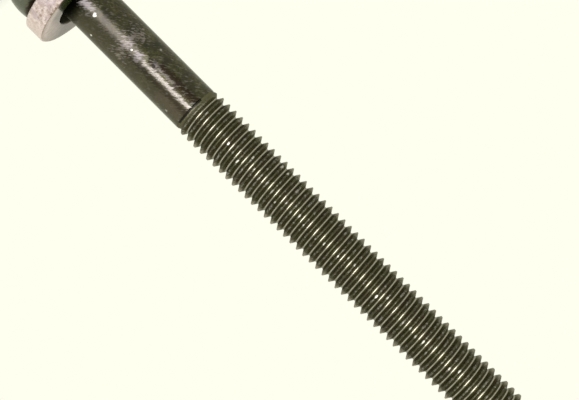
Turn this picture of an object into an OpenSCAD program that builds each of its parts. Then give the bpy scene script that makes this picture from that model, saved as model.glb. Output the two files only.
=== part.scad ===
// Cylinder head bolt, 7/16-14 UNC by 5 in, with its loose plain washer.
// The bolt stands on the end of its hexagon. Z runs up its axis, and the
// origin is the middle of that end face, so the washer lies on the collar.

/* [Hexagon] */
// Width of the hexagon across its flats (5/8 in wrench)
hex_across_flats = 15.9; // [12:0.1:18]
// Height of the hexagon
hex_h = 7.2; // [4:0.1:12]
// Diameter of the flat left inside the chamfer of the corners
hex_flat_d = 15; // [10:0.1:15.5]
// Angle of that chamfer, from the end face
hex_chamfer_angle = 30; // [15:1:45]

/* [Collar] */
// Diameter of the collar where its rim bulges most
collar_d = 22.3; // [19.5:0.1:26]
// Height of the collar, from the hexagon to the bearing face
collar_h = 6.4; // [3:0.1:10]
// Radius of the collar's rounded edges
collar_edge_r = 1.3; // [0.3:0.1:1.4]
// How far the rim bulges past a straight cylinder
collar_bulge = 0.2; // [0.05:0.05:0.5]

/* [Shank] */
// Diameter of the plain shank
shank_d = 10.3; // [9.6:0.1:10.8]
// Length from the bearing face to the start of the thread
grip_len = 36; // [12:0.1:80]
// Fillet where the shank meets the collar
neck_fillet_r = 0.9; // [0.2:0.1:1.5]

/* [Thread] */
// Diameter over the thread's crests (7/16 in)
thread_d = 11.11; // [10.9:0.01:12.7]
// Distance from one crest to the next (14 to the inch)
pitch = 1.814; // [1.4:0.001:2.1]
// Length of the thread, from the plain shank to the tip
thread_len = 91; // [15:0.1:110]
// Turns over which the thread rises out of the shank
runout_turns = 1; // [0.5:0.1:3]
// Width of the 45 degree chamfer that points the tip
tip_chamfer = 1.5; // [1.3:0.05:2.5]
// Flat steps that draw each turn of the thread
steps_per_turn = 20; // [12:2:24]

/* [Washer] */
// Outside diameter of the washer
washer_d = 24.4; // [20:0.1:30]
// Thickness of the washer
washer_t = 4.4; // [1.5:0.1:6]
// Gap between the washer's bore and the widest thing inside it
washer_clearance = 0.9; // [0.3:0.05:1.2]
// Chamfer on the washer's outer edges
washer_chamfer = 0.25; // [0.1:0.05:0.7]

/* [Hidden] */

// Steps of a full circle on the round surfaces
round_fn = 96;

// Height of the collar's bearing face above the end of the hexagon
bearing_z = hex_h + collar_h;
// The bore clears both the thread and the fillet under the head
washer_bore_d = max(thread_d, shank_d + 2 * neck_fillet_r) + 2 * washer_clearance;

// Unified thread form: flanks at 30 degrees, a crest flat of an eighth of
// the pitch, and the depth that rolling leaves at the root
flank_angle = 30;
thread_depth = 0.56 * pitch;
crest_w = pitch / 8;
flank_w = thread_depth * tan(flank_angle);
root_w = pitch - crest_w - 2 * flank_w;
crest_r = thread_d / 2;
root_r = crest_r - thread_depth;

// One turn's profile: how far along the pitch each corner lies, and its
// radius once the thread is fully formed
CORNERS = [
    [0, crest_r],
    [crest_w, crest_r],
    [crest_w + flank_w, root_r],
    [crest_w + flank_w + root_w, root_r],
];
corner_count = len(CORNERS);

// Inside the shank the thread grows from a disc of this radius and depth
seed_r = shank_d / 2 - 0.7;
seed_depth = pitch / 2;
// Where it leaves the shank it starts just under the shank's surface
start_r = shank_d / 2 - 0.05;
// Radius of the flat at the tip
tip_r = min(crest_r - tip_chamfer, root_r);

// Direction in which the helix starts, about the axis from +X
start_angle = 172;
// Turns that lie wholly inside the seed disc and wholly past the tip, and
// the turns in which their flat spiral would reach the axis
lead_turns = 1.2;
trail_turns = 0.5;
spiral_turns = 3;

// Radius of a flat closing spiral, a distance past its outer edge
function spiral_r(edge_r, past) = edge_r * (1 - past / (spiral_turns * pitch));

// Radius of a corner at a height above the shank's end. It grows from the
// shank over the run-out, and the tip's chamfer cuts it back.
function formed_r(z, full_r) =
    let(risen = min(1, z / (runout_turns * pitch)))
    min(start_r + (full_r - start_r) * risen, tip_r + thread_len - z);

function corner_r(z, full_r) =
    z > thread_len ? spiral_r(tip_r, z - thread_len)
    : z >= 0 ? formed_r(z, full_r)
    : z >= -seed_depth ? start_r + (start_r - seed_r) * z / seed_depth
    : spiral_r(seed_r, -seed_depth - z);

// Place of a profile corner after a number of steps along the helix
function corner_point(step, corner) =
    let(angle = start_angle + 360 * step / steps_per_turn)
    let(z = pitch * (step / steps_per_turn - lead_turns) - seed_depth + corner[0])
    let(r = corner_r(z, corner[1]))
    [r * cos(angle), r * sin(angle), min(thread_len, max(-seed_depth, z))];

// Index of a corner's point. Past the end of the profile it is the first
// corner of the next turn.
function corner_index(step, j) =
    j < corner_count
    ? step * corner_count + j
    : (step + steps_per_turn) * corner_count + j - corner_count;

// Right-hand thread as one closed skin: each turn's last corner joins the
// next turn's first, and a flat spiral closes each end.
module thread() {
    turns = ceil((thread_len + seed_depth) / pitch + lead_turns + trail_turns);
    last = turns * steps_per_turn;
    points = [for (step = [0:last]) for (corner = CORNERS) corner_point(step, corner)];
    skin = [
        for (step = [0:last - 1]) for (j = [0:corner_count - 1])
            if (j < corner_count - 1 || step + steps_per_turn < last)
                let(here = corner_index(step, j))
                let(next = corner_index(step + 1, j))
                let(above = corner_index(step, j + 1))
                let(next_above = corner_index(step + 1, j + 1))
                each [[here, next_above, next], [here, above, next_above]]
    ];

    // Each end face starts from a corner that sees all of its others
    top = corner_count - 1;
    seed_from = floor(0.75 * steps_per_turn);
    seed_face = concat(
        [for (step = [seed_from:steps_per_turn]) corner_index(step, 0)],
        [for (j = [top:-1:1]) corner_index(0, j)],
        [for (step = [0:seed_from - 1]) corner_index(step, 0)]
    );
    tip_start = last - steps_per_turn;
    tip_from = tip_start + floor(0.25 * steps_per_turn);
    tip_face = concat(
        [for (step = [tip_from:-1:tip_start]) corner_index(step, top)],
        [for (j = [0:top - 1]) corner_index(last, j)],
        [for (step = [last:-1:tip_from + 1]) corner_index(step, top)]
    );
    polyhedron(points, concat(skin, [seed_face, tip_face]));
}

// Hexagon, its corners turned off to a cone at the standing end
module hexagon() {
    h = hex_h + collar_edge_r;
    intersection() {
        cylinder(h = h, d = hex_across_flats / cos(30), $fn = 6);
        cylinder(
            h = h,
            r1 = hex_flat_d / 2,
            r2 = hex_flat_d / 2 + h / tan(hex_chamfer_angle),
            $fn = round_fn
        );
    }
}

// Outline of the collar: a barrel rim between two rounded edges
module collar_outline() {
    flat_r = collar_d / 2 - collar_bulge - collar_edge_r;
    rim_h = collar_h - 2 * collar_edge_r;
    bulge_r = (pow(rim_h / 2, 2) + pow(collar_bulge, 2)) / (2 * collar_bulge);
    square([flat_r, collar_h]);
    for (y = [collar_edge_r, collar_h - collar_edge_r])
        translate([flat_r, y])
            circle(r = collar_edge_r, $fn = round_fn);
    intersection() {
        translate([0, collar_edge_r])
            square([collar_d, rim_h]);
        union() {
            square([flat_r + collar_edge_r, collar_h]);
            translate([collar_d / 2 - bulge_r, collar_h / 2])
                circle(r = bulge_r, $fn = round_fn);
        }
    }
}

module collar() {
    translate([0, 0, hex_h])
        rotate_extrude($fn = round_fn)
            collar_outline();
}

// Plain shank, with a fillet that runs out onto the collar
module shank() {
    fillet_end = shank_d / 2 + neck_fillet_r;
    translate([0, 0, bearing_z]) {
        cylinder(h = grip_len, d = shank_d, $fn = round_fn);
        rotate_extrude($fn = round_fn)
            difference() {
                square([fillet_end, neck_fillet_r]);
                translate([fillet_end, neck_fillet_r])
                    circle(r = neck_fillet_r, $fn = round_fn);
            }
    }
}

// The bolt is one forging: hexagon, collar, shank and rolled thread
module head_bolt() {
    color([0.24, 0.24, 0.2]) {
        hexagon();
        collar();
        shank();
        translate([0, 0, bearing_z + grip_len])
            thread();
    }
}

// Washer, lying on the collar's bearing face
module washer() {
    bore_r = washer_bore_d / 2;
    outer_r = washer_d / 2;
    color([0.84, 0.8, 0.74])
        translate([0, 0, bearing_z])
            rotate_extrude($fn = round_fn)
                polygon([
                    [bore_r, 0],
                    [outer_r - washer_chamfer, 0],
                    [outer_r, washer_chamfer],
                    [outer_r, washer_t - washer_chamfer],
                    [outer_r - washer_chamfer, washer_t],
                    [bore_r, washer_t],
                ]);
}

head_bolt();
washer();
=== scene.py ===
"""Looks of a cylinder head bolt and its plain washer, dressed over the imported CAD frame.

The bolt stands on its hexagon, Z up. Everything is in metres, in the frame of the CAD model.
"""

import logging
import math
from collections.abc import Callable, Sequence
from dataclasses import dataclass, field
from enum import Enum, auto
from typing import Any

import bmesh
import bpy
from bpy.types import GeometryNodeTree, Material, Mesh, Node, NodeSocket, NodeTree, Object
from mathutils import Matrix, Vector, noise

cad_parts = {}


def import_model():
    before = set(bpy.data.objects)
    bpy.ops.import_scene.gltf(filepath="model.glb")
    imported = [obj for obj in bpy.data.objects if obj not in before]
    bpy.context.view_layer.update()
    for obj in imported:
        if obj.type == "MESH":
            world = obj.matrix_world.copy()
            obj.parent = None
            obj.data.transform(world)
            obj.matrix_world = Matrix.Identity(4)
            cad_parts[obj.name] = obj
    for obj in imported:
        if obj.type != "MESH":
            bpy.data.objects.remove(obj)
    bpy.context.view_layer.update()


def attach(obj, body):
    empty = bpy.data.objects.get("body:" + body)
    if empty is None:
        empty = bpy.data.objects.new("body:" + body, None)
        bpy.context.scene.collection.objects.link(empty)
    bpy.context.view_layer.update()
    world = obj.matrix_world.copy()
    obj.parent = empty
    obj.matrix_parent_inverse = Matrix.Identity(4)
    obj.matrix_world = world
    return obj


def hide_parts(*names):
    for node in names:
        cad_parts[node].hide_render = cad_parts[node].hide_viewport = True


LOG = logging.getLogger("bolt")
Ring = Callable[[float], tuple[float, float]]
Outline = list[tuple[float, float]]
MM = 0.001
# Between these values lies nearly all of a noise
NOISE_RANGE = (0.3, 0.7)
ROOT_BODY = "root"


class Slot(Enum):
    """Material slots that the record gives the two nodes."""

    BOLT = "black_oxide_steel"
    WASHER = "blasted_steel"


class Step(Enum):
    """Steps of a tree: node type, settings, inputs in order, and output."""

    @staticmethod
    def _generate_next_value_(name: str, *_: Any) -> tuple[Any, ...]:
        """A bare name is an operation of the Math node."""
        return "ShaderNodeMath", {"operation": name}, (0, 1, 2), 0

    ADD = auto()
    SUBTRACT = auto()
    MULTIPLY = auto()
    DIVIDE = auto()
    MULTIPLY_ADD = auto()
    MINIMUM = auto()
    MAXIMUM = auto()
    ABSOLUTE = auto()
    FRACT = auto()
    FLOOR = auto()
    SINE = auto()
    COSINE = auto()
    ARCTAN2 = auto()
    GREATER_THAN = auto()
    LENGTH = ("ShaderNodeVectorMath", {"operation": "LENGTH"}, (0,), "Value")
    DISTANCE = ("ShaderNodeVectorMath", {"operation": "DISTANCE"}, (0, 1), "Value")
    JOIN = ("ShaderNodeCombineXYZ", {}, (0, 1, 2), 0)
    RAMP = ("ShaderNodeMapRange", {}, (0, 1, 2, 3, 4), 0)
    BLEND = ("ShaderNodeMix", {"data_type": "RGBA"}, (0, 6, 7), 2)
    NOISE = ("ShaderNodeTexNoise", {}, ("Vector", "Scale", "Detail", "Roughness"), "Fac")
    SWITCH = ("GeometryNodeSwitch", {"input_type": "FLOAT"}, (0, 1, 2), 0)


# ---- helpers


def linear(hex_colour: str) -> tuple[float, float, float, float]:
    """Turn an sRGB hex colour into linear RGBA.

    Args:
        hex_colour: Colour as "#rrggbb".

    Returns:
        Red, green, blue and an alpha of 1, linear.
    """
    channels = [int(hex_colour[i : i + 2], 16) / 255 for i in (1, 3, 5)]
    curve = [c / 12.92 if c <= 0.04045 else ((c + 0.055) / 1.055) ** 2.4 for c in channels]
    return (*curve, 1.0)


@dataclass(frozen=True)
class Graph:
    """A shader or geometry tree while it is being built."""

    tree: NodeTree

    def node(self, kind: str, inputs: dict[int | str, Any] | None = None, **settings: Any) -> Node:
        """Add a node with its settings and links.

        Args:
            kind: Node type name.
            inputs: Value, hex colour or output socket to link, for each input by index or name.
            settings: Node properties to set.

        Returns:
            The new node.
        """
        node = self.tree.nodes.new(kind)
        for name, value in settings.items():
            setattr(node, name, value)
        for key, value in (inputs or {}).items():
            if isinstance(value, NodeSocket):
                self.tree.links.new(value, node.inputs[key])
            else:
                node.inputs[key].default_value = linear(value) if isinstance(value, str) else value
        return node

    def add(self, step: Step, *values: Any) -> NodeSocket:
        """Add one of the steps.

        Args:
            step: Which step.
            values: Value, hex colour or output socket to link, for each of its inputs in order.

        Returns:
            Its result.
        """
        kind, settings, inputs, output = step.value
        return self.node(kind, dict(zip(inputs, values)), **settings).outputs[output]

    def layered(self, base: Any, *layers: tuple[NodeSocket, Any]) -> Any:
        """Lay colours over a base.

        Args:
            base: Hex colour or socket.
            layers: Share and colour of each layer, from the lowest up.

        Returns:
            The colour that shows.
        """
        for share, over in layers:
            base = self.add(Step.BLEND, share, base, over)
        return base


@dataclass(frozen=True)
class Fade:
    """A straight change between two values, flat past both."""

    low: float
    high: float
    start: float = 0.0
    end: float = 1.0

    def of(self, value: NodeSocket, unit: float = 1.0, origin: float = 0.0) -> NodeSocket:
        """Add the change to the tree of a socket.

        Args:
            value: What it follows.
            unit: What its two ends are counted in.
            origin: Where they are counted from.

        Returns:
            The result, from start to end.
        """
        low, high = origin + self.low * unit, origin + self.high * unit
        return Graph(value.id_data).add(Step.RAMP, value, low, high, self.start, self.end)


def density(size_mm: float) -> float:
    """Scale of a noise whose largest spots have a size in millimetres."""
    return 1 / (size_mm * MM)


def new_material(name: str) -> tuple[Material, Graph]:
    """Start a material with an empty tree.

    Args:
        name: Name of the material.

    Returns:
        The material and its graph.
    """
    material = bpy.data.materials.new(name)
    material.use_nodes = True
    material.node_tree.nodes.clear()
    return material, Graph(material.node_tree)


@dataclass(frozen=True)
class RoundPlace:
    """Sockets that tell a shader where it is on a round piece, all in metres."""

    point: NodeSocket
    x: NodeSocket
    y: NodeSocket
    radius: NodeSocket
    around: NodeSocket
    level: NodeSocket
    unrolled: NodeSocket

    @classmethod
    def on(cls, graph: Graph, radius: float) -> "RoundPlace":
        """Add the nodes that measure round the Z axis.

        Args:
            graph: The material's graph.
            radius: Radius at which distances round the piece are true.

        Returns:
            The sockets. Round distances start at the side that faces -Y and grow towards -X.
        """
        point = graph.node("ShaderNodeTexCoord").outputs["Object"]
        x, y, level = graph.node("ShaderNodeSeparateXYZ", {0: point}).outputs
        turn = graph.add(Step.ARCTAN2, *(graph.add(Step.MULTIPLY, side, -1.0) for side in (x, y)))
        around = graph.add(Step.MULTIPLY, turn, radius)
        out = graph.add(Step.LENGTH, graph.add(Step.JOIN, x, y))
        return cls(point, x, y, out, around, level, graph.add(Step.JOIN, around, level))


def new_piece(name: str, mesh: Mesh) -> Object:
    """Link a mesh to the scene as an object at the origin.

    Args:
        name: Name of the piece.
        mesh: Its finished mesh, placed in the CAD frame.

    Returns:
        The new object.
    """
    piece = bpy.data.objects.new(name, mesh)
    bpy.context.scene.collection.objects.link(piece)
    return piece


def skin_rings(name: str, rings: Sequence[Sequence[Vector]], closed: bool = False) -> Mesh:
    """Skin a stack of rings of equal length into one closed mesh.

    Args:
        name: Name of the mesh.
        rings: Rings of points, each counter-clockwise about +Z.
        closed: True joins the last ring to the first, as on a tube bent round;
            False closes both ends with a fan to the ring's middle.

    Returns:
        The mesh, smooth shaded, with its normals outwards.
    """
    bm = bmesh.new()
    rows = [[bm.verts.new(p) for p in ring] for ring in rings]
    count = len(rows[0])
    pairs = list(zip(rows, rows[1:]))
    if closed:
        pairs.append((rows[-1], rows[0]))
    for low, high in pairs:
        for i in range(count):
            j = (i + 1) % count
            bm.faces.new((low[i], low[j], high[j], high[i]))
    if not closed:
        for row in (rows[0], rows[-1]):
            middle = bm.verts.new(sum((v.co for v in row), Vector()) / count)
            for i in range(count):
                bm.faces.new((row[i], row[(i + 1) % count], middle))
    bmesh.ops.recalc_face_normals(bm, faces=bm.faces)
    mesh = bpy.data.meshes.new(name)
    bm.to_mesh(mesh)
    bm.free()
    mesh.shade_smooth()
    return mesh


def spread(start: float, end: float, steps: int) -> list[float]:
    """Values in equal steps, both ends included."""
    return [start + (end - start) * i / steps for i in range(steps + 1)]


def arc_points(
    centre: tuple[float, float], radius: float, start: float, end: float, steps: int
) -> Outline:
    """Points along an arc in the (radius, height) plane of a turned outline.

    Args:
        centre: Middle of the arc.
        radius: Radius of the arc.
        start: First angle in degrees, from the outward direction towards +Z.
        end: Last angle in degrees.
        steps: Number of chords.

    Returns:
        The points, both ends included.
    """
    angles = [math.radians(angle) for angle in spread(start, end, steps)]
    return [(centre[0] + radius * math.cos(a), centre[1] + radius * math.sin(a)) for a in angles]


# ---- finishes


@dataclass(frozen=True)
class Patch:
    """A stretch of wear or soiling on a round surface, in millimetres, or of painted shade, painted
    highlight or painted reflection.

    Its middle is measured round the surface from the side that faces -Y towards -X,
    and its ends are heights above the hexagon's end.
    """

    around: float
    half_width: float
    low: float
    high: float
    colour: str
    share: float
    ragged: float = 0.5
    fade: float = 0.4

    def mask(self, spot: RoundPlace, fray: NodeSocket) -> NodeSocket:
        """Add the patch's mask to a material.

        Args:
            spot: Where the shader is.
            fray: Noise from -1 to 1 that frays the edge.

        Returns:
            The patch's share, from 0 to its full share.
        """
        graph = Graph(fray.id_data)
        ragged = graph.add(Step.MULTIPLY, fray, self.ragged * MM)
        middle, half = (self.low + self.high) / 2, (self.high - self.low) / 2
        masks = []
        for value, centre, reach, full in (
            (spot.around, self.around, self.half_width, self.share),
            (spot.level, middle, half, 1.0),
        ):
            off = graph.add(Step.ABSOLUTE, graph.add(Step.SUBTRACT, value, centre * MM))
            edge = (reach - self.fade / 2) * MM
            frayed = graph.add(Step.ADD, off, ragged)
            masks.append(graph.add(Step.RAMP, frayed, edge, edge + self.fade * MM, full, 0.0))
        return graph.add(Step.MULTIPLY, *masks)


@dataclass(frozen=True)
class RoundSpot:
    """A round spot, such as a knock that shows bare steel, a dirty knock or a painted shade: direction in
    degrees from -Y towards -X, height and size in mm.

    Its middle takes the spot's full share out to the core's share of its size.
    """

    angle: float
    level: float
    size: float
    share: float = 1.0
    core: float = 0.55
    ragged: float = 0.3

    def mask(self, spot: RoundPlace, radius: float, fray: NodeSocket) -> NodeSocket:
        """Add the spot's mask to a material.

        Args:
            spot: Where the shader is.
            radius: Radius of the surface the spot lies on, in metres.
            fray: Noise from -1 to 1 that frays the edge.

        Returns:
            The spot's share, from 0 to its full share.
        """
        turn = math.radians(self.angle)
        middle = (-radius * math.sin(turn), -radius * math.cos(turn), self.level * MM)
        graph = Graph(fray.id_data)
        away = graph.add(Step.DISTANCE, spot.point, middle)
        frayed = graph.add(Step.MULTIPLY_ADD, fray, self.ragged * self.size * MM, away)
        return graph.add(Step.RAMP, frayed, self.core * self.size * MM, self.size * MM, self.share, 0.0)


def frayed_edges(graph: Graph, spot: RoundPlace, size_mm: float, slant: float) -> NodeSocket:
    """Add slanting noise that frays the edges of wear marks.

    Args:
        graph: The material's graph.
        spot: Where the shader is.
        size_mm: Width of a fray, in millimetres; it is four times as long.
        slant: Its direction in degrees from the axis.

    Returns:
        The noise, from about -1 to 1.
    """
    stretched = graph.node(
        "ShaderNodeMapping",
        {
            "Vector": spot.unrolled,
            "Rotation": (0.0, 0.0, math.radians(slant)),
            "Scale": (size_mm, 4 * size_mm, 1.0),
        },
        vector_type="TEXTURE",
    )
    frays = graph.add(Step.NOISE, stretched.outputs[0], density(1.0), 4.0)
    return graph.add(Step.RAMP, frays, *NOISE_RANGE, -1.0, 1.0)


@dataclass(frozen=True)
class BlackOxideSteel:
    """Turned steel blackened in hot oxide and oiled.

    The eye gets a dark olive metal with brown clouds under a thin gloss of oil.
    Fine turning marks run round it and draw every highlight out along the bolt,
    and handling has scratched the oxide so that steel shows through. Painted shade
    darkens the shank's foot, the collar's edge and the thread's first furrow, and a
    painted highlight line with painted reflections of a dark thing above it runs
    along the side that faces -Y.
    """

    name: str = "black_oxide_turned_steel"
    olive: str = "#52512e"
    dark: str = "#2e2d1f"
    brown: str = "#453b2c"
    scratch: str = "#8c8484"
    edge: str = "#deded6"
    bare: str = "#ece8e2"
    cloud_mm: float = 2.4
    mottle_mm: float = 0.6
    grain_mm: float = 0.3
    scratch_mm: float = 0.32
    slant: float = -42.0
    roughness: float = 0.4
    anisotropy: float = 0.9
    unevenness: float = 0.05
    relief: float = 0.4
    relief_mm: float = 0.02
    oil: float = 0.32
    oil_roughness: float = 0.15
    clouds: Fade = Fade(0.36, 0.6)
    browning: Fade = Fade(0.5, 0.66, 0.0, 0.7)
    mottling: Fade = Fade(0.4, 0.6, 0.0, 0.85)
    scratching: Fade = Fade(0.25, 1.0, 0.0, 0.5)
    # Painted shade: at the shank's foot inside the washer's bore, on the collar's edge under the washer,
    # and in the furrow where the thread starts.
    shade_bands: tuple[Patch, ...] = (
        Patch(0.0, 40.0, 15.5, 19.7, "#060603", 0.97, 0.3, 2.4),
        Patch(0.0, 60.0, 12.2, 14.6, "#221811", 0.9, 0.3, 0.6),
        Patch(-1.3, 3.6, 49.4, 50.0, "#0c0a06", 0.97, 0.1, 0.1),
    )
    patches: tuple[Patch, ...] = (
        Patch(0.0, 60.0, 7.0, 12.0, "#6c7063", 0.65, 0.5, 0.8),
        Patch(-3.7, 2.6, 20.5, 49.3, "#544f3e", 0.55, 0.8, 1.6),
        Patch(-2.9, 1.5, 42.5, 49.3, "#6a5c50", 0.35, 1.2, 1.0),
        Patch(-1.95, 0.45, 33.0, 49.3, "#2a2014", 0.6, 0.6, 0.5),
        # Scratches with a painted highlight, over the painted shade at the shank's foot.
        Patch(-0.6, 0.8, 18.9, 21.6, "#9c9698", 0.6, 1.3, 0.7),
        # The next two rows: rubbed oxide that is partly a painted highlight.
        Patch(-0.5, 0.95, 19.2, 36.6, "#948a8e", 0.27, 1.2, 0.8),
        Patch(0.7, 0.5, 37.6, 44.5, "#8f848c", 0.45, 0.9, 0.5),
        # The next two rows: painted reflection of a dark thing, above the highlight line.
        Patch(0.45, 0.3, 43.5, 49.0, "#2a2019", 0.85, 0.6, 0.3),
        Patch(1.35, 0.55, 39.2, 49.3, "#281a06", 0.9, 0.7, 0.4),
        # Painted highlight line, laid as a bright rubbed stripe.
        Patch(-0.76, 0.4, 36.3, 49.25, "#a09894", 0.85, 0.45, 0.4),
        # Painted reflection of a dark thing.
        Patch(0.35, 0.35, 36.9, 38.5, "#14100c", 0.9, 0.6, 0.3),
        Patch(0.1, 2.9, 30.8, 32.1, "#9e9496", 0.5, 2.6, 0.7),
        # Painted highlight.
        Patch(-0.7, 0.8, 34.2, 35.4, "#a098a0", 0.5, 1.0, 0.5),
        Patch(-3.4, 0.6, 31.0, 32.2, "#8c8478", 0.5, 0.8, 0.5),
    )
    spots: tuple[RoundSpot, ...] = tuple(
        RoundSpot(*numbers)
        for numbers in (
            (-10.0, 22.8, 0.5), (-6.9, 33.05, 0.24, 0.8), (-56.0, 24.65, 0.34), (43.0, 36.9, 0.36, 0.3),
            (-56.7, 46.05, 0.4, 0.3),
        )
    )

    def build(self, shank_radius: float) -> Material:
        """Make the material.

        Args:
            shank_radius: Radius that the patches are measured round, in metres.

        Returns:
            The material.
        """
        material, graph = new_material(self.name)
        add = graph.add
        spot = RoundPlace.on(graph, shank_radius)
        clouds = add(Step.NOISE, spot.point, density(self.cloud_mm), 6.0, 0.65)
        wide = add(Step.NOISE, spot.point, density(2 * self.cloud_mm), 4.0)
        fine = add(Step.NOISE, spot.point, density(self.mottle_mm), 3.0, 0.6)
        fray = frayed_edges(graph, spot, self.scratch_mm, self.slant)
        shade_bands = [(patch.mask(spot, fray), patch.colour) for patch in self.shade_bands]
        colour = graph.layered(
            self.dark,
            (self.clouds.of(clouds), self.olive),
            (self.browning.of(wide), self.brown),
            (self.mottling.of(fine), self.dark),
            (self.scratching.of(fray), self.scratch),
            *shade_bands,
            *((patch.mask(spot, fray), patch.colour) for patch in self.patches),
            *((bare.mask(spot, shank_radius, fray), self.bare) for bare in self.spots),
        )

        # The painted shade also takes away the oil's gloss
        unshaded: Any = 1.0
        for share, _ in shade_bands:
            unshaded = add(Step.MULTIPLY, unshaded, add(Step.SUBTRACT, 1.0, share))
        grain = add(Step.NOISE, spot.point, density(self.grain_mm))
        low, high = self.roughness - self.unevenness, self.roughness + self.unevenness
        bump = graph.node(
            "ShaderNodeBump",
            {
                "Strength": self.relief,
                "Distance": self.relief_mm * MM,
                "Height": add(Step.ADD, grain, fray),
            },
        )
        tangent = graph.node("ShaderNodeTangent", direction_type="RADIAL", axis="Z")
        shader = graph.node(
            "ShaderNodeBsdfPrincipled",
            {
                "Base Color": colour,
                "Metallic": 1.0,
                "Specular Tint": self.edge,
                "Roughness": add(Step.RAMP, grain, *NOISE_RANGE, low, high),
                "Anisotropic": self.anisotropy,
                "Anisotropic Rotation": 0.25,
                "Coat Weight": add(Step.MULTIPLY, unshaded, self.oil),
                "Coat Roughness": self.oil_roughness,
                "Normal": bump.outputs["Normal"],
                "Tangent": tangent.outputs["Tangent"],
            },
        )
        graph.node("ShaderNodeOutputMaterial", {"Surface": shader.outputs["BSDF"]})
        return material


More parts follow.
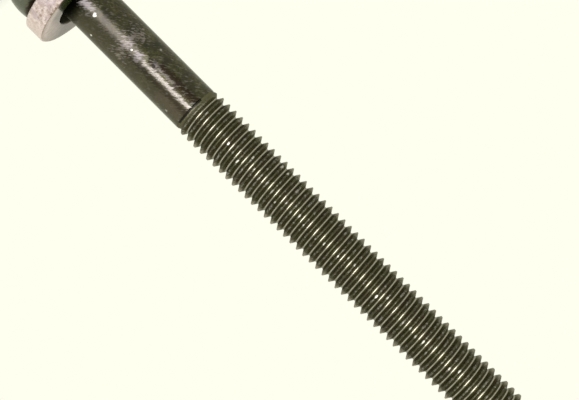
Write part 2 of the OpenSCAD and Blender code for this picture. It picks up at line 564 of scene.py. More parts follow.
@dataclass(frozen=True)
class RolledThreadSteel:
    """The same black oxide over a rolled thread.

    The eye gets dark mottled flanks, roots that the rolling dies left bright and
    smooth, crests rubbed pale along both sides, and bare flecks where they have
    been knocked. Fades with a share in depth are counted from the root outwards.
    """

    name: str = "black_oxide_rolled_thread"
    olive: str = "#67653e"
    dark: str = "#4d4a30"
    brown: str = "#5c503e"
    root: str = "#979486"
    crest: str = "#353426"
    fleck: str = "#86847a"
    runout: str = "#57553a"
    knock: str = "#f4f0e8"
    # Painted shade where the thread starts, in its first furrow.
    groove_shade: Patch = Patch(-1.4, 3.9, 47.0, 49.95, "#0c0a06", 0.97, 0.1, 0.1)
    edge: str = "#b8b8b0"
    mottle_mm: float = 0.55
    fleck_mm: float = 0.8
    fray_mm: float = 0.2
    slant: float = -42.0
    roughness: float = 0.5
    root_roughness: float = 0.22
    relief: float = 0.5
    relief_mm: float = 0.05
    oil: float = 0.3
    oil_roughness: float = 0.35
    clouds: Fade = Fade(0.36, 0.64)
    browning: Fade = Fade(0.45, 0.65, 0.0, 0.7)
    flecking: Fade = Fade(0.52, 0.66)
    crest_in_depth: Fade = Fade(0.45, 0.75)
    crest_share: float = 0.65
    root_in_depth: Fade = Fade(0.04, 0.16, 1.0, 0.0)
    inside_in_depth: Fade = Fade(-0.3, -0.15)
    runout_mm: Fade = Fade(1.15, 1.3, 0.75, 0.0)
    scuff: Patch = Patch(-0.3, 2.2, 50.0, 50.95, "#7f7a6c", 0.6, 2.2, 0.6)
    rubbed: tuple[Patch, ...] = (
        Patch(8.6, 2.4, 51.5, 138.0, "#b0ac98", 0.55, 0.6, 1.6),
        Patch(-8.6, 2.4, 51.5, 138.0, "#b4ac98", 0.65, 0.6, 1.6),
    )
    spots: tuple[RoundSpot, ...] = tuple(
        RoundSpot(*numbers)
        for numbers in (
            (-1.5, 59.75, 0.42), (-9.0, 61.6, 0.4, 0.15), (-14.0, 63.55, 0.3, 0.6),
            (-17.0, 63.35, 0.34, 0.7), (-20.0, 63.15, 0.3, 0.6), (13.4, 65.15, 0.42, 0.35),
            (-20.0, 65.3, 0.3, 0.2), (-1.5, 66.9, 0.36, 0.6), (0.0, 68.9, 0.4, 0.15),
            (-7.0, 68.95, 0.34, 0.25), (-11.5, 68.75, 0.3, 0.3), (-4.0, 70.6, 0.5, 0.15),
            (48.0, 70.4, 0.6, 0.35), (45.0, 72.15, 0.45, 0.5), (-6.0, 72.7, 0.45, 0.15),
            (-19.6, 74.45, 0.28, 0.4), (30.0, 76.2, 0.7, 0.25), (-4.0, 76.2, 0.35, 0.12),
            (-10.0, 78.0, 0.3, 0.2), (-3.3, 79.8, 0.42, 0.4), (-11.5, 81.6, 0.3, 0.3),
            (-14.4, 85.0, 0.36, 0.3), (-8.2, 87.0, 0.38, 0.35), (-6.1, 90.85, 0.34, 0.6),
            (6.1, 92.4, 0.36, 0.25), (5.1, 94.15, 0.38, 0.35), (-9.2, 101.6, 0.46, 0.9),
            (5.1, 103.25, 0.4, 0.35), (-9.2, 108.85, 0.4, 0.25), (-6.1, 110.7, 0.4, 0.25),
            (-10.2, 112.5, 0.45, 0.2), (-7.1, 114.35, 0.46, 0.6), (-8.2, 121.6, 0.4, 0.5),
            (2.0, 123.3, 0.4, 0.5),
        )
    )

    def build(self, root_radius: float, crest_radius: float, start: float) -> Material:
        """Make the material.

        Args:
            root_radius: Radius at the bottom of the thread, in metres.
            crest_radius: Radius over its crests, in metres.
            start: Height at which the thread starts, in metres.

        Returns:
            The material.
        """
        material, graph = new_material(self.name)
        add = graph.add
        spot = RoundPlace.on(graph, crest_radius)
        depth = crest_radius - root_radius
        mottle = add(Step.NOISE, spot.point, density(self.mottle_mm), 5.0, 0.7)
        wide = add(Step.NOISE, spot.point, density(5 * self.mottle_mm))
        specks = add(Step.NOISE, spot.point, density(self.fleck_mm), 4.0, 0.65)
        fray = frayed_edges(graph, spot, self.fray_mm, self.slant)
        on_crest, root, skin = (
            part.of(spot.radius, depth, root_radius)
            for part in (self.crest_in_depth, self.root_in_depth, self.inside_in_depth)
        )
        in_root = add(Step.MULTIPLY, root, skin)
        above = add(Step.SUBTRACT, spot.level, start)

        # Flecks and rubs lie on the crests, and the roots are bright. Painted shade
        # darkens the furrow where the dies first bit, below a scuffed run-out.
        colour = graph.layered(
            self.dark,
            (self.clouds.of(mottle), self.olive),
            (self.browning.of(wide), self.brown),
            (add(Step.MULTIPLY, on_crest, self.crest_share), self.crest),
            (add(Step.MULTIPLY, self.flecking.of(specks), on_crest), self.fleck),
            *((add(Step.MULTIPLY, rub.mask(spot, fray), on_crest), rub.colour) for rub in self.rubbed),
            *((bare.mask(spot, crest_radius, fray), self.knock) for bare in self.spots),
            (in_root, self.root),
            (self.runout_mm.of(above, MM), self.runout),
            *((patch.mask(spot, fray), patch.colour) for patch in (self.scuff, self.groove_shade)),
        )
        bump = graph.node(
            "ShaderNodeBump",
            {"Strength": self.relief, "Distance": self.relief_mm * MM, "Height": mottle},
        )
        shader = graph.node(
            "ShaderNodeBsdfPrincipled",
            {
                "Base Color": colour,
                "Metallic": 1.0,
                "Specular Tint": self.edge,
                "Roughness": add(Step.RAMP, in_root, 0.0, 1.0, self.roughness, self.root_roughness),
                "Coat Weight": self.oil,
                "Coat Roughness": self.oil_roughness,
                "Normal": bump.outputs["Normal"],
            },
        )
        graph.node("ShaderNodeOutputMaterial", {"Surface": shader.outputs["BSDF"]})
        return material


@dataclass(frozen=True)
class BlastedSteel:
    """Hardened steel, its rim blasted with coarse grit and its faces ground.

    The eye gets a pale, slightly pink, matt rim with fine pits, painted paler on its
    +X side as painted light, and a smoother, greyer face that mirrors the dark shank.
    Painted shade darkens the face towards +Y and near the shank, a painted green
    shadow and reflection of the shank lies beside it, and the bore's wall is painted
    dark as shade, as are two wide spots on the rim's upper edge. Fades in millimetres
    are counted from the axis, or from the rim, the face or the bore that they are named for.
    """

    name: str = "grit_blasted_steel"
    pale: str = "#eadad8"
    tan: str = "#bea8a0"
    grey: str = "#968c84"
    bright: str = "#efdfd6"
    lilac: str = "#ccbcc6"
    ground: str = "#b3a09a"
    ground_dull: str = "#9f8e86"
    painted_shade: str = "#38261a"
    shank_shadow: str = "#2b3a10"
    dirt_and_shade: str = "#7d6650"
    bore_shade: str = "#3c3a28"
    pit_mm: float = 0.45
    pit_depth_mm: float = 0.08
    blotch_mm: float = 1.1
    roughness: float = 0.55
    metallic: float = 0.5
    ground_roughness: float = 0.2
    tanning: Fade = Fade(0.4, 0.6)
    tinging: Fade = Fade(0.5, 0.64, 0.0, 0.6)
    greying: Fade = Fade(0.5, 0.68, 0.0, 0.85)
    dulling: Fade = Fade(0.42, 0.6)
    painted_lit_side: Fade = Fade(8.5, 11.5, 0.0, 0.7)
    near_half: Fade = Fade(-2.5, 1.0)
    back_shade: Fade = Fade(-13.5, -2.5, 0.0, 0.95)
    halo_shade: Fade = Fade(6.0, 8.4, 0.72, 0.0)
    halo_slope: float = 0.16
    halo_from_rim: Fade = Fade(-3.0, -1.6, 1.0, 0.0)
    shank_shadow_band: Fade = Fade(6.9, 7.5, 0.93, 0.0)
    shank_shadow_slope: float = -0.28
    shank_shadow_front: Fade = Fade(-6.4, -4.8, 1.0, 0.0)
    shank_shadow_metal: Fade = Fade(0.0, 1.0, 0.95, 0.2)
    darker_by_rim: Fade = Fade(-1.1, -0.7, 0.0, 0.35)
    above_face: Fade = Fade(-0.12, -0.06)
    past_bore: Fade = Fade(0.05, 0.2, 1.0, 0.0)
    pitting: Fade = Fade(0.0, 1.0, 0.8, 0.06)
    # Brown soiling in knocks on the edge. The two wide spots at -31 and -20 degrees are painted shade that
    # dulls the light on the rim's upper edge.
    dirt_and_shade_spots: tuple[RoundSpot, ...] = tuple(
        RoundSpot(*numbers)
        for numbers in (
            (-22.5, 17.9, 0.4, 0.5), (-26.0, 17.95, 0.42, 0.9), (-30.0, 17.9, 0.5, 0.5),
            (-34.0, 17.95, 0.48, 0.9), (-31.0, 17.3, 1.3, 0.3), (-38.0, 15.9, 0.3, 0.5),
            (-44.0, 16.1, 0.34, 0.5), (-48.0, 16.0, 0.34, 0.5), (-20.0, 17.5, 1.1, 0.3),
        )
    )

    def build(self, face_level: float, bore_radius: float, outer_radius: float) -> Material:
        """Make the material.

        Args:
            face_level: Height of the ground face, in metres.
            bore_radius: Radius of the bore, in metres.
            outer_radius: Radius of the rim, in metres.

        Returns:
            The material.
        """
        material, graph = new_material(self.name)
        add = graph.add
        spot = RoundPlace.on(graph, bore_radius)
        x, y = spot.x, spot.y
        blotch = add(Step.NOISE, spot.point, density(self.blotch_mm), 4.0, 0.6)
        pits = add(Step.NOISE, spot.point, density(self.pit_mm), 4.0, 0.7)
        wide = add(Step.NOISE, spot.point, density(2 * self.blotch_mm), 4.0)
        rim = graph.layered(
            self.pale,
            (self.tanning.of(blotch), self.tan),
            (self.tinging.of(wide), self.lilac),
            (self.greying.of(pits), self.grey),
            # Painted light: the rim is painted paler towards +X.
            (self.painted_lit_side.of(x, MM), self.bright),
        )

        # Painted shade darkens the face towards +Y and near the shank, and a painted green
        # shadow and reflection of the shank lies beside it. Both keep to the +X half.
        near_half = self.near_half.of(x, MM)
        to_back = self.back_shade.of(add(Step.SUBTRACT, y, x), MM)
        halo = self.halo_shade.of(add(Step.MULTIPLY_ADD, y, self.halo_slope, x), MM)
        inside = self.halo_from_rim.of(spot.radius, MM, outer_radius)
        face_shades = (to_back, add(Step.MULTIPLY, halo, inside))
        # Painted shadow and reflection of the shank, in green, on the front of the +X half.
        beside_shank = self.shank_shadow_band.of(add(Step.MULTIPLY_ADD, y, self.shank_shadow_slope, x), MM)
        front = add(Step.MULTIPLY, near_half, self.shank_shadow_front.of(y, MM))
        in_shank_shadow = add(Step.MULTIPLY, beside_shank, front)
        face = graph.layered(
            self.ground,
            (self.dulling.of(blotch), self.ground_dull),
            *((add(Step.MULTIPLY, painted_shade, near_half), self.painted_shade) for painted_shade in face_shades),
            (in_shank_shadow, self.shank_shadow),
            # Darker next to the rim.
            (self.darker_by_rim.of(spot.radius, MM, outer_radius), self.dirt_and_shade),
        )

        on_face = self.above_face.of(spot.level, MM, face_level)
        fray = add(Step.RAMP, pits, *NOISE_RANGE, -1.0, 1.0)
        colour = graph.layered(
            rim,
            (on_face, face),
            # Painted shade: the bore's wall is painted dark.
            (self.past_bore.of(spot.radius, MM, bore_radius), self.bore_shade),
            *((dent.mask(spot, outer_radius, fray), self.dirt_and_shade) for dent in self.dirt_and_shade_spots),
        )
        # The face is less metallic under the painted shadow and reflection of the shank.
        bare = self.shank_shadow_metal.of(in_shank_shadow)
        bump = graph.node(
            "ShaderNodeBump",
            {"Strength": self.pitting.of(on_face), "Distance": self.pit_depth_mm * MM, "Height": pits},
            invert=True,
        )
        shader = graph.node(
            "ShaderNodeBsdfPrincipled",
            {
                "Base Color": colour,
                "Metallic": add(Step.RAMP, on_face, 0.0, 1.0, self.metallic, bare),
                "Roughness": add(Step.RAMP, on_face, 0.0, 1.0, self.roughness, self.ground_roughness),
                "Normal": bump.outputs["Normal"],
            },
        )
        graph.node("ShaderNodeOutputMaterial", {"Surface": shader.outputs["BSDF"]})
        return material


# ---- pieces


@dataclass
class Forging:
    """Hexagon, round collar and plain shank of the bolt, turned and forged in one.

    Sizes are in millimetres, and levels are heights above the hexagon's end. Rings on
    that end lie at shares of its flat's radius.
    """

    hex_across_flats: float = 15.9
    hex_height: float = 7.2
    hex_flat_radius: float = 7.5
    hex_chamfer_angle: float = 30.0
    collar_radius: float = 11.15
    collar_height: float = 6.4
    collar_edge_radius: float = 1.3
    collar_bulge: float = 0.2
    shank_radius: float = 5.15
    grip_length: float = 36.0
    neck_fillet: float = 0.9
    end_bevel: float = 0.05
    corner_break: float = 0.12
    crease: float = 0.02
    face_margin: float = 0.6
    end_shares: tuple[float, ...] = (0.3, 0.7, 0.97)
    columns: int = 192
    chamfer_rows: int = 10
    hex_rows: int = 6
    shank_rows: int = 40

    @property
    def bearing_level(self) -> float:
        """Height of the collar's bearing face."""
        return self.hex_height + self.collar_height

    @property
    def thread_level(self) -> float:
        """Height at which the plain shank ends."""
        return self.bearing_level + self.grip_length

    def hex_radius(self, angle: float) -> float:
        """Radius of the hexagon in one direction.

        Args:
            angle: Direction in radians; the corners lie on multiples of 60 degrees.

        Returns:
            The radius in millimetres, with the corner's edge just broken.
        """
        from_flat = (angle % (math.pi / 3)) - math.pi / 6
        half = self.hex_across_flats / 2
        return min(half / math.cos(from_flat), half / math.cos(math.pi / 6) - self.corner_break)

    def hexagon_rings(self) -> list[Ring]:
        """Rings of the hexagon, each as a function from direction to (radius, height).

        Returns:
            The rings from the standing end up to the collar.
        """
        slope = math.tan(math.radians(self.hex_chamfer_angle))
        corner = self.hex_across_flats / 2 / math.cos(math.pi / 6)
        chamfer_height = (corner - self.hex_flat_radius) * slope
        levels = spread(0.0, chamfer_height, self.chamfer_rows)
        levels += [level for level in spread(0.0, self.hex_height, self.hex_rows) if level > chamfer_height]

        def ring_at(level: float) -> Ring:
            """Ring of the chamfered hexagon at a level."""
            cone = self.hex_flat_radius + level / slope
            return lambda angle: (min(self.hex_radius(angle), cone), level)

        def ring_on_end(share: float) -> Ring:
            """Ring on the standing end."""
            return lambda angle: (self.hex_flat_radius * share, 0.0)

        return [*map(ring_on_end, self.end_shares), *map(ring_at, levels)]

    def turned_outline(self) -> Outline:
        """Outline of the collar and shank, from the hexagon's top to the thread.

        Returns:
            Points as (radius, height).
        """
        edge = self.collar_edge_radius
        flat = self.collar_radius - self.collar_bulge - edge
        low, high = self.hex_height, self.bearing_level
        half_rim = self.collar_height / 2 - edge
        bulge_radius = (half_rim**2 + self.collar_bulge**2) / (2 * self.collar_bulge)
        sweep = math.degrees(math.asin(half_rim / bulge_radius))
        neck = self.shank_radius + self.neck_fillet
        bulge = (self.collar_radius - bulge_radius, (low + high) / 2)
        outline = [(flat - self.crease, low), *arc_points((flat, low + edge), edge, -90, 0, 12)]
        outline += arc_points(bulge, bulge_radius, -sweep, sweep, 10)[1:-1]
        outline += arc_points((flat, high - edge), edge, 0, 90, 12)
        outline += [(flat - self.face_margin, high), (neck + self.face_margin, high)]
        outline += arc_points((neck, high + self.neck_fillet), self.neck_fillet, -90, -180, 8)
        plain = spread(outline[-1][1], self.thread_level - self.end_bevel, self.shank_rows)
        outline += [(self.shank_radius, level) for level in plain[1:]]
        # The end is flat and lies inside the thread, and a fan closes its middle
        ends = (self.shank_radius - self.end_bevel, self.shank_radius / 2)
        return [*outline, *((radius, self.thread_level) for radius in ends)]

    def mesh(self) -> Mesh:
        """Skin the forging.

        Returns:
            One closed mesh in metres.
        """
        angles = [2 * math.pi * i / self.columns for i in range(self.columns)]

        def ring(shape: Ring) -> list[Vector]:
            """Points of one ring."""
            places = [(a, *shape(a)) for a in angles]
            return [Vector((r * math.cos(a), r * math.sin(a), z)) * MM for a, r, z in places]

        turned = [ring(lambda _, point=point: point) for point in self.turned_outline()]
        return skin_rings("bolt_forging", [ring(shape) for shape in self.hexagon_rings()] + turned)


@dataclass
class RolledThread:
    """Right-hand rolled thread, made by a Geometry Nodes tree from its sizes in millimetres.

    Shares are parts of the pitch, and rows are those of crest, flank, root and flank.
    """

    crest_radius: float = 5.555
    pitch: float = 1.814
    length: float = 90.99
    shank_radius: float = 5.15
    tip_chamfer: float = 1.5
    runout_turns: float = 1.0
    depth_share: float = 0.56
    crest_share: float = 0.125
    root_share: float = 0.228
    root_round: float = 0.08
    columns: int = 88
    rows: tuple[int, ...] = (2, 4, 6, 4)
    closing_turns: float = 0.4
    start_sunk: float = 0.05
    seed_sunk: float = 0.7
    seed_depth: float = 0.9
    start_phase: float = 0.282
    nick_depth: float = 0.07
    nick_size: float = 0.9
    nicking: Fade = Fade(0.56, 0.72)
    merge_distance: float = 0.002

    @property
    def depth(self) -> float:
        """Depth of the thread from crest to root."""
        return self.depth_share * self.pitch

    @property
    def root_radius(self) -> float:
        """Radius at the root."""
        return self.crest_radius - self.depth

    @property
    def turns(self) -> int:
        """Whole turns of rows, from inside the shank to past the tip."""
        return math.ceil((self.length + self.seed_depth) / self.pitch + 2 * self.closing_turns + 1)

    def sizes(self) -> dict[str, float]:
        """Named sizes for the tree.

        Returns:
            Lengths in metres and plain numbers, by input name.
        """
        return {
            "Crest Radius": self.crest_radius * MM,
            "Root Radius": self.root_radius * MM,
            "Pitch": self.pitch * MM,
            "Length": self.length * MM,
            "Start Radius": (self.shank_radius - self.start_sunk) * MM,
            "Seed Radius": (self.shank_radius - self.seed_sunk) * MM,
            "Seed Depth": self.seed_depth * MM,
            "Runout": self.runout_turns * self.pitch * MM,
            "Tip Radius": (self.crest_radius - self.tip_chamfer) * MM,
            "Closing": self.closing_turns * self.pitch * MM,
            "Lead": (self.closing_turns + 1 + self.start_phase) * self.pitch * MM + self.seed_depth * MM,
            "Nick Depth": self.nick_depth * MM,
            "Nick Size": self.nick_size * MM,
        }

    def tree(self, material: Material) -> GeometryNodeTree:
        """Build the tree: a grid is wrapped into a helix and given the thread's radii.

        Args:
            material: Finish of the thread.

        Returns:
            The tree, with one named input for each size.
        """
        tree = bpy.data.node_groups.new("rolled_thread", "GeometryNodeTree")
        tree.interface.new_socket("Geometry", in_out="OUTPUT", socket_type="NodeSocketGeometry")
        for name in self.sizes():
            tree.interface.new_socket(name, in_out="INPUT", socket_type="NodeSocketFloat")
        graph = Graph(tree)
        add = graph.add
        size = graph.node("NodeGroupInput").outputs
        grid = graph.node(
            "GeometryNodeMeshGrid",
            {0: 1.0, 1: 1.0, 2: self.columns + 1, 3: self.turns * sum(self.rows) + 1},
        )
        flat = graph.node("GeometryNodeInputPosition").outputs[0]
        sides = graph.node("ShaderNodeSeparateXYZ", {0: flat}).outputs
        share_round, share_up = (add(Step.ADD, side, 0.5) for side in sides[:2])
        turn = add(Step.MULTIPLY, share_up, float(self.turns))

        # Rows of a turn are spread over crest, flank, root and flank
        in_turn = add(Step.FRACT, turn)
        crest, root = self.crest_share, self.root_share
        flank = (1 - crest - root) / 2
        ends = [sum(self.rows[:i]) / sum(self.rows) for i in range(len(self.rows) + 1)]
        crests, falling, roots, rising = (
            add(Step.RAMP, in_turn, low, high, 0.0, span)
            for low, high, span in zip(ends, ends[1:], (crest, flank, root, flank))
        )
        along = add(Step.ADD, add(Step.ADD, crests, falling), add(Step.ADD, roots, rising))

        # Height of each point: it climbs a pitch for every turn of rows and of angle
        whole = add(Step.FLOOR, turn)
        climbed = add(Step.ADD, add(Step.ADD, whole, along), share_round)
        level = add(Step.SUBTRACT, add(Step.MULTIPLY, climbed, size["Pitch"]), size["Lead"])

        # Share of the thread's height: straight flanks that run into a rounded root
        down = add(Step.RAMP, falling, 0.0, flank, 1.0 - self.root_round, 0.0)
        up = add(Step.RAMP, rising, 0.0, flank, 0.0, 1.0 - self.root_round)
        across_root = add(Step.RAMP, roots, 0.0, root, -1.0, 1.0)
        hollow = add(Step.MULTIPLY, add(Step.MULTIPLY, across_root, across_root), self.root_round)
        raised = add(Step.ADD, add(Step.ADD, down, up), hollow)

        # Radius of the fully formed thread, with nicks knocked out of its crests
        angle = add(Step.MULTIPLY, share_round, 2 * math.pi)
        cosine, sine = add(Step.COSINE, angle), add(Step.SINE, angle)
        over = (add(Step.MULTIPLY, side, size["Crest Radius"]) for side in (cosine, sine))
        knocks = add(Step.NOISE, add(Step.JOIN, *over, level), add(Step.DIVIDE, 1.0, size["Nick Size"]))
        knocked = self.nicking.of(knocks)
        nick = add(Step.MULTIPLY, add(Step.MULTIPLY, knocked, size["Nick Depth"]), raised)
        height = add(Step.SUBTRACT, size["Crest Radius"], size["Root Radius"])
        formed = add(Step.ADD, size["Root Radius"], add(Step.MULTIPLY, height, raised))
        worn = add(Step.SUBTRACT, formed, nick)

        # The thread grows out of the shank, and a cone cuts it back at the tip
        risen = add(Step.RAMP, level, 0.0, size["Runout"])
        growth = add(Step.MULTIPLY, add(Step.SUBTRACT, worn, size["Start Radius"]), risen)
        grown = add(Step.ADD, size["Start Radius"], growth)
        cone = add(Step.ADD, size["Tip Radius"], add(Step.SUBTRACT, size["Length"], level))
        outside = add(Step.MINIMUM, grown, cone)

        # Inside the shank it starts from a disc, and both ends close on the axis
        below = add(Step.SUBTRACT, 0.0, size["Seed Depth"])
        sunk = add(Step.SUBTRACT, size["Start Radius"], size["Seed Radius"])
        depth_share = add(Step.RAMP, level, below, 0.0)
        buried = add(Step.ADD, size["Seed Radius"], add(Step.MULTIPLY, sunk, depth_share))
        above_shank = add(Step.GREATER_THAN, level, 0.0)
        body = add(Step.SWITCH, above_shank, buried, outside)
        past_tip = add(Step.SUBTRACT, level, size["Length"])
        past_seed = add(Step.SUBTRACT, below, level)
        past = add(Step.MAXIMUM, add(Step.MAXIMUM, past_tip, past_seed), 0.0)
        closing = add(Step.RAMP, past, 0.0, size["Closing"], 1.0, 0.0)
        edge_tip = add(Step.GREATER_THAN, past_tip, 0.0)
        edge_radius = add(Step.SWITCH, edge_tip, body, size["Tip Radius"])
        radius = add(Step.MULTIPLY, edge_radius, closing)
        clipped = add(Step.MAXIMUM, add(Step.MINIMUM, level, size["Length"]), below)

        drawn = (add(Step.MULTIPLY, side, radius) for side in (cosine, sine))
        place = add(Step.JOIN, *drawn, clipped)
        wrapped = graph.node("GeometryNodeSetPosition", {0: grid.outputs["Mesh"], 2: place})
        doubles = {0: wrapped.outputs[0], "Distance": self.merge_distance * MM}
        merged = graph.node("GeometryNodeMergeByDistance", doubles)
        smooth = graph.node("GeometryNodeSetShadeSmooth", {0: merged.outputs[0]})
        real = graph.node("GeometryNodeRealizeInstances", {0: smooth.outputs[0]})
        dressed = graph.node("GeometryNodeSetMaterial", {0: real.outputs[0], "Material": material})
        graph.node("NodeGroupOutput", {0: dressed.outputs[0]})
        return tree

    def mesh(self, level: float, material: Material) -> Mesh:
        """Run the tree and take its result as a plain mesh.

        Args:
            level: Height of the thread's start in millimetres.
            material: Finish of the thread.

        Returns:
            One closed mesh in metres, in the CAD frame.
        """
        carrier = new_piece("thread_carrier", bpy.data.meshes.new("thread_carrier"))
        modifier = carrier.modifiers.new("rolled_thread", "NODES")
        modifier.node_group = self.tree(material)
        sizes = self.sizes()
        for socket in modifier.node_group.interface.items_tree:
            if socket.in_out == "INPUT":
                modifier[socket.identifier] = sizes[socket.name]
        depsgraph = bpy.context.evaluated_depsgraph_get()
        mesh = bpy.data.meshes.new_from_object(carrier.evaluated_get(depsgraph))
        bpy.data.objects.remove(carrier)
        mesh.transform(Matrix.Translation((0, 0, level * MM)))
        bm = bmesh.new()
        bm.from_mesh(mesh)
        bmesh.ops.recalc_face_normals(bm, faces=bm.faces)
        bm.to_mesh(mesh)
        bm.free()
        mesh.name = "bolt_thread"
        return mesh


@dataclass
class HeadBolt:
    """The whole bolt: forging and rolled thread, one piece of steel."""

    forging: Forging = field(default_factory=Forging)
    thread: RolledThread = field(default_factory=RolledThread)
    finish: BlackOxideSteel = field(default_factory=BlackOxideSteel)
    thread_finish: RolledThreadSteel = field(default_factory=RolledThreadSteel)

    def build(self) -> list[Object]:
        """Build and dress the bolt.

        Returns:
            Its pieces, riding on the root body.
        """
        forged = new_piece("bolt_forging", self.forging.mesh())
        forged.data.materials.append(self.finish.build(self.forging.shank_radius * MM))
        start = self.forging.thread_level
        radii = (self.thread.root_radius * MM, self.thread.crest_radius * MM)
        steel = self.thread_finish.build(*radii, start * MM)
        threaded = new_piece("bolt_thread", self.thread.mesh(start, steel))
        pieces = [forged, threaded]
        for piece in pieces:
            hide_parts("head_bolt")
            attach(piece, ROOT_BODY)
        return pieces


@dataclass(frozen=True)
class Dent:
    """A knock on the washer: its direction and height in degrees and millimetres, and its size."""

    angle: float
    level: float
    radius: float
    depth: float


@dataclass
class PlainWasher:
    """Thick plain washer with knocked edges. Sizes in millimetres, levels from its lower face."""

    level: float = 13.6
    outer_radius: float = 12.2
    bore_radius: float = 6.95
    thickness: float = 4.4
    chamfer: float = 0.25
    bore_edge: float = 0.15
    columns: int = 288
    rim_rows: int = 16
    face_rows: int = 20
    bore_rows: int = 8
    grit_depth: float = 0.05
    grit_per_mm: float = 1.4
    finish: BlastedSteel = field(default_factory=BlastedSteel)
    dents: tuple[Dent, ...] = tuple(
        Dent(*numbers)
        for numbers in (
            (-58.0, 4.25, 0.5, 0.22), (-66.0, 4.3, 0.4, 0.18), (-47.0, 4.25, 0.4, 0.14),
            (-38.0, 0.2, 0.5, 0.14), (-52.0, 1.9, 0.4, 0.12), (-61.0, 3.0, 0.35, 0.12),
            (-56.0, 3.3, 0.3, 0.1), (-30.0, 4.2, 0.6, 0.16), (-75.0, 0.3, 0.5, 0.1),
        )
    )

    def outline(self) -> Outline:
        """Closed outline of the section, finely divided so that dents can press into it.

        Returns:
            Points as (radius, height), round the section.
        """
        low, high = self.chamfer, self.thickness - self.chamfer
        rim = [(self.outer_radius, level) for level in spread(low, high, self.rim_rows)]
        face = spread(self.bore_radius + self.bore_edge, self.outer_radius - self.chamfer, self.face_rows)
        top = [(r, self.thickness) for r in reversed(face)]
        levels = spread(self.thickness - self.bore_edge, self.bore_edge, self.bore_rows)
        bore = [(self.bore_radius, level) for level in levels]
        bottom = [(r, 0.0) for r in face]
        return [*rim, *top, *bore, *bottom]

    def pressed(self, radius: float, height: float, angle: float) -> Vector:
        """Place of an outline point after grit and knocks have worn it inwards.

        Args:
            radius: Radius of the point.
            height: Height of the point above the lower face.
            angle: Its direction in radians.

        Returns:
            The worn point in metres, in the CAD frame.
        """
        point = Vector((radius * math.cos(angle), radius * math.sin(angle), height))
        press = 0.0
        if radius > self.bore_radius and height > 0:
            press = self.grit_depth * (0.5 + 0.5 * noise.noise(point * self.grit_per_mm))
        for dent in self.dents:
            a = math.radians(dent.angle)
            middle = Vector((self.outer_radius * math.cos(a), self.outer_radius * math.sin(a), dent.level))
            near = max(0.0, 1 - (point - middle).length / dent.radius)
            press += dent.depth * near * near * (3 - 2 * near)

        # Wear moves the rim inwards, and the upper half down by half as much
        on_rim = radius > self.outer_radius - 1.5 * self.chamfer
        worn_radius = radius - press if on_rim else radius
        worn_height = height - 0.5 * press if height > self.thickness / 2 else height
        worn = (worn_radius * math.cos(angle), worn_radius * math.sin(angle), worn_height + self.level)
        return Vector(worn) * MM

    def build(self) -> list[Object]:
        """Build and dress the washer.

        Returns:
            Its one piece, riding on the root body.
        """
        outline = self.outline()
        turns = [2 * math.pi * i / self.columns for i in range(self.columns)]
        rings = [[self.pressed(r, z, a) for a in turns] for r, z in outline]
        ring = new_piece("washer_ring", skin_rings("washer_ring", rings, closed=True))
        face_level = (self.level + self.thickness) * MM
        finish = self.finish.build(face_level, self.bore_radius * MM, self.outer_radius * MM)
        ring.data.materials.append(finish)
        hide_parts("washer")
        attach(ring, ROOT_BODY)
        return [ring]


# ---- studio


def in_view(graph: Graph) -> NodeSocket:
    """Add the test for rays that look at the stage, straight or by reflection or through glass.

    Args:
        graph: Graph of the floor's or the world's tree.

    Returns:
        1 for those rays and 0 for the ones that carry light.
    """
    path = graph.node("ShaderNodeLightPath").outputs
    mirrored = graph.add(Step.MAXIMUM, path["Is Glossy Ray"], path["Is Transmission Ray"])
    return graph.add(Step.MAXIMUM, path["Is Camera Ray"], mirrored)


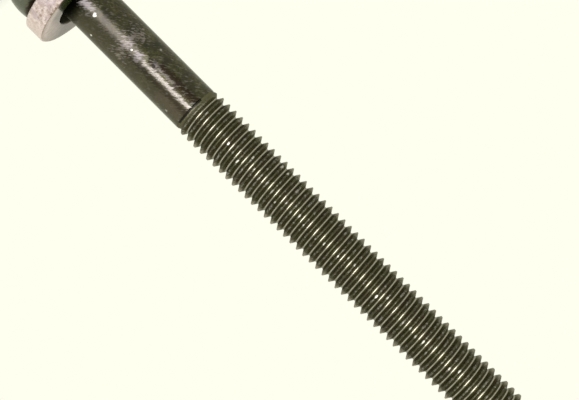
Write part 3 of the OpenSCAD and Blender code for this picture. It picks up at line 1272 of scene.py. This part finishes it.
@dataclass
class Studio:
    """Pale floor and backdrop, soft light and the camera. Lengths in millimetres."""

    ivory: str = "#fffff0"
    matt: str = "#fafaee"
    floor_half: float = 2500.0
    floor_fade: Fade = Fade(12.0, 30.0, 0.3, 1.0)
    aim_level: float = 75.93
    aim_side: float = -0.48
    foot_level: float = 91.23
    distance: float = 299.1
    lens_mm: float = 93.115
    sensor_mm: float = 36.0
    nearest: float = 10.0
    key_watts: float = 5.4
    key_distance: float = 700.0
    key_turn: float = 5.0
    key_width: float = 480.0
    key_height: float = 590.0
    fill_watts: float = 0.35
    fill_turn: float = 90.0
    fill_side: float = 600.0
    lamp_lift: float = 5.0
    ambient: float = 0.3

    def floor(self) -> Object:
        """Lay the floor: plain ivory that takes the shadow near the bolt and fades into the backdrop.

        Returns:
            The floor.
        """
        half = self.floor_half * MM
        mesh = bpy.data.meshes.new("floor")
        corners = [(-half, -half, 0), (half, -half, 0), (half, half, 0), (-half, half, 0)]
        mesh.from_pydata(corners, [], [(0, 1, 2, 3)])
        floor = new_piece("floor", mesh)
        material, graph = new_material("matt_ivory_floor")
        place = graph.node("ShaderNodeTexCoord").outputs["Object"]
        fade = self.floor_fade.of(graph.add(Step.LENGTH, place), MM)
        seen = graph.add(Step.MULTIPLY, fade, in_view(graph))
        matt = graph.node("ShaderNodeBsdfDiffuse", {"Color": self.matt})
        glow = graph.node("ShaderNodeEmission", {"Color": self.ivory, "Strength": 1.0})
        mixed = graph.node("ShaderNodeMixShader", {0: seen, 1: matt.outputs[0], 2: glow.outputs[0]})
        graph.node("ShaderNodeOutputMaterial", {"Surface": mixed.outputs[0]})
        mesh.materials.append(material)
        return floor

    def backdrop(self) -> None:
        """Make the world: ivory to the camera and in reflections, and softer light for the rest."""
        world = bpy.data.worlds.new("ivory_backdrop")
        bpy.context.scene.world = world
        world.use_nodes = True
        world.node_tree.nodes.clear()
        graph = Graph(world.node_tree)
        strength = graph.add(Step.RAMP, in_view(graph), 0.0, 1.0, self.ambient, 1.0)
        sky = graph.node("ShaderNodeBackground", {"Color": self.ivory, "Strength": strength})
        graph.node("ShaderNodeOutputWorld", {"Surface": sky.outputs[0]})

    def softbox(self, name: str, turn: float, width: float, height: float, watts: float) -> None:
        """Hang a softbox that stands on the floor's level and faces the bolt's axis.

        Args:
            name: Name of the lamp.
            turn: Direction in degrees from -Y towards +X.
            width: Its width in millimetres.
            height: Its height.
            watts: Its power.
        """
        data = bpy.data.lights.new(name, "AREA")
        data.shape = "RECTANGLE"
        data.size = width * MM
        data.size_y = height * MM
        data.energy = watts
        lamp = bpy.data.objects.new(name, data)
        bpy.context.scene.collection.objects.link(lamp)
        angle = math.radians(turn)
        middle = Vector((math.sin(angle), -math.cos(angle), 0)) * self.key_distance * MM
        middle.z = (height / 2 + self.lamp_lift) * MM
        lamp.location = middle
        lamp.rotation_euler = (Vector((0, 0, middle.z)) - middle).to_track_quat("-Z", "Y").to_euler()

    def lamps(self) -> None:
        """Hang a tall softbox beside the camera and a weaker square one on its +X side."""
        self.softbox("tall_softbox", self.key_turn, self.key_width, self.key_height, self.key_watts)
        self.softbox("side_softbox", self.fill_turn, self.fill_side, self.fill_side, self.fill_watts)

    def camera(self) -> None:
        """Set the camera: close, level with the thread, rolled so that the bolt runs corner to corner."""
        data = bpy.data.cameras.new("camera")
        data.lens = self.lens_mm
        data.sensor_width = self.sensor_mm
        data.clip_start = self.nearest * MM
        camera = bpy.data.objects.new("camera", data)
        bpy.context.scene.collection.objects.link(camera)
        place = Vector((self.aim_side, -self.distance, self.foot_level)) * MM
        target = Vector((self.aim_side, 0, self.aim_level)) * MM
        forward = (target - place).normalized()
        along = Vector((0, 0, 1))
        along = (along - along.dot(forward) * forward).normalized()
        across = along.cross(forward)
        right = (along + across).normalized()
        up = (across - along).normalized()
        turn = Matrix((right, up, -forward)).transposed().to_4x4()
        camera.matrix_world = Matrix.Translation(place) @ turn
        bpy.context.scene.camera = camera

    def build(self) -> None:
        """Set up the whole studio."""
        self.floor()
        self.backdrop()
        self.lamps()
        self.camera()
        bpy.context.scene.view_settings.view_transform = "Standard"


def main() -> None:
    """Build the bolt, the washer and the studio."""
    logging.basicConfig(level=logging.INFO, format="%(message)s")
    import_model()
    Studio().build()
    for part in (HeadBolt(), PlainWasher()):
        for piece in part.build():
            piece.data.calc_loop_triangles()
            LOG.info("%s: %d triangles", piece.name, len(piece.data.loop_triangles))


if __name__ == "__main__":
    main()
